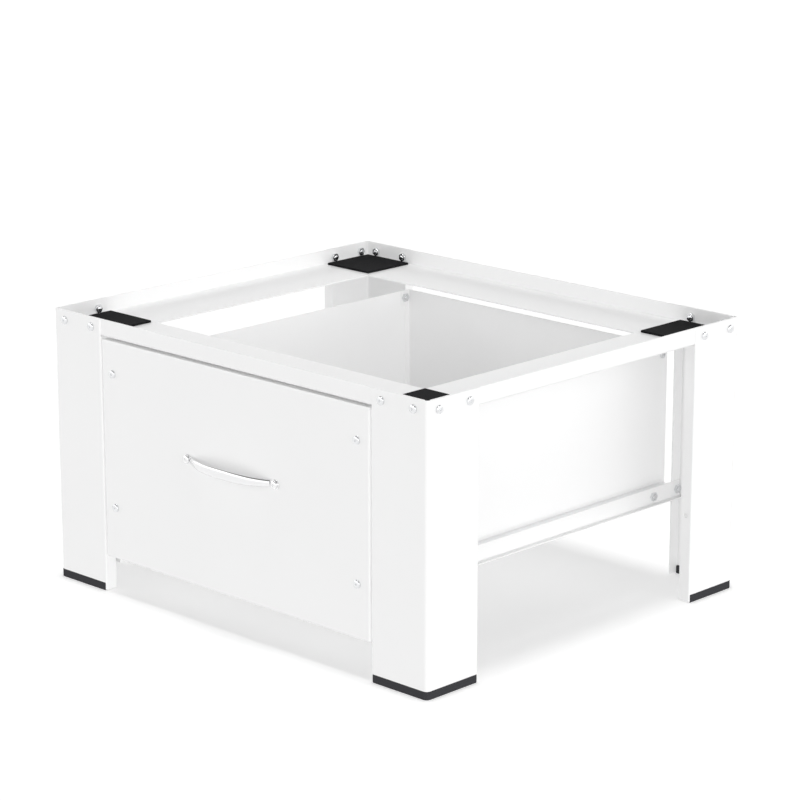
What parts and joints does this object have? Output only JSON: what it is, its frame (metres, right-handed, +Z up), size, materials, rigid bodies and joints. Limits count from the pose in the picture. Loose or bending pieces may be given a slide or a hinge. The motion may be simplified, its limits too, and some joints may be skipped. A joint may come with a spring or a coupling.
{
  "type": "washing machine pedestal drawer",
  "caption": "White sheet steel pedestal for a washing machine: folded corner legs, a shallow top tray with rubber pads, and a pull-out drawer on ball slides below.",
  "frame": {"origin": "on the floor, below the middle of the overall box, handle and screw heads included", "axes": "+X to the right seen from the front, -Y towards the drawer front, +Z up"},
  "size_m": [0.636, 0.5662, 0.344],
  "materials": {
    "white_coat": "satin white powder coat",
    "black_rubber": "matt black",
    "chrome": "bright plated",
    "zinc_steel": "zinc plated",
    "screw_plating": "bright nickel plated"
  },
  "bodies": {
    "frame": {"front_left_bracket_bolt": "screw_plating", "front_left_face_bolt_1": "screw_plating", "front_left_face_bolt_2": "screw_plating", "front_left_foot": "black_rubber", "front_left_leg": "white_coat", "front_left_pad": "black_rubber", "front_left_side_bolt_1": "screw_plating", "front_left_side_bolt_2": "screw_plating", "front_left_slide_bolt": "zinc_steel", "front_rail": "white_coat", "front_right_bracket_bolt": "screw_plating", "front_right_face_bolt_1": "screw_plating", "front_right_face_bolt_2": "screw_plating", "front_right_foot": "black_rubber", "front_right_leg": "white_coat", "front_right_pad": "black_rubber", "front_right_side_bolt_1": "screw_plating", "front_right_side_bolt_2": "screw_plating", "front_right_slide_bolt": "zinc_steel", "left_bracket": "white_coat", "left_rail": "white_coat", "left_slide_outer": "zinc_steel", "rear_left_bracket_bolt": "screw_plating", "rear_left_face_bolt_1": "screw_plating", "rear_left_face_bolt_2": "screw_plating", "rear_left_foot": "black_rubber", "rear_left_leg": "white_coat", "rear_left_pad": "black_rubber", "rear_left_side_bolt_1": "screw_plating", "rear_left_side_bolt_2": "screw_plating", "rear_left_slide_bolt": "zinc_steel", "rear_rail": "white_coat", "rear_right_bracket_bolt": "screw_plating", "rear_right_face_bolt_1": "screw_plating", "rear_right_face_bolt_2": "screw_plating", "rear_right_foot": "black_rubber", "rear_right_leg": "white_coat", "rear_right_pad": "black_rubber", "rear_right_side_bolt_1": "screw_plating", "rear_right_side_bolt_2": "screw_plating", "rear_right_slide_bolt": "zinc_steel", "right_bracket": "white_coat", "right_rail": "white_coat", "right_slide_outer": "zinc_steel"},
    "drawer": {"drawer_back": "white_coat", "drawer_floor": "white_coat", "drawer_front": "white_coat", "drawer_handle": "chrome", "drawer_left_side": "white_coat", "drawer_right_side": "white_coat", "left_back_bolt": "screw_plating", "left_lower_front_screw": "screw_plating", "left_slide_inner": "zinc_steel", "left_upper_front_screw": "screw_plating", "right_back_bolt": "screw_plating", "right_lower_front_screw": "screw_plating", "right_slide_inner": "zinc_steel", "right_upper_front_screw": "screw_plating"},
    "ball_cage_left": {"left_slide_cage": "zinc_steel"},
    "ball_cage_right": {"right_slide_cage": "zinc_steel"}
  },
  "joints": [
    {"name": "drawer_slide", "type": "slide", "parent": "frame", "child": "drawer", "axis": [0, -1, 0], "range_m": [0, 0.38]},
    {"name": "left_cage_slide", "type": "slide", "parent": "frame", "child": "ball_cage_left", "axis": [0, -1, 0], "range_m": [0, 0.19]},
    {"name": "right_cage_slide", "type": "slide", "parent": "frame", "child": "ball_cage_right", "axis": [0, -1, 0], "range_m": [0, 0.19]}
  ],
  "couplings": [
    {"joint": "left_cage_slide", "follows": "drawer_slide", "ratio": 0.5},
    {"joint": "right_cage_slide", "follows": "drawer_slide", "ratio": 0.5}
  ]
}
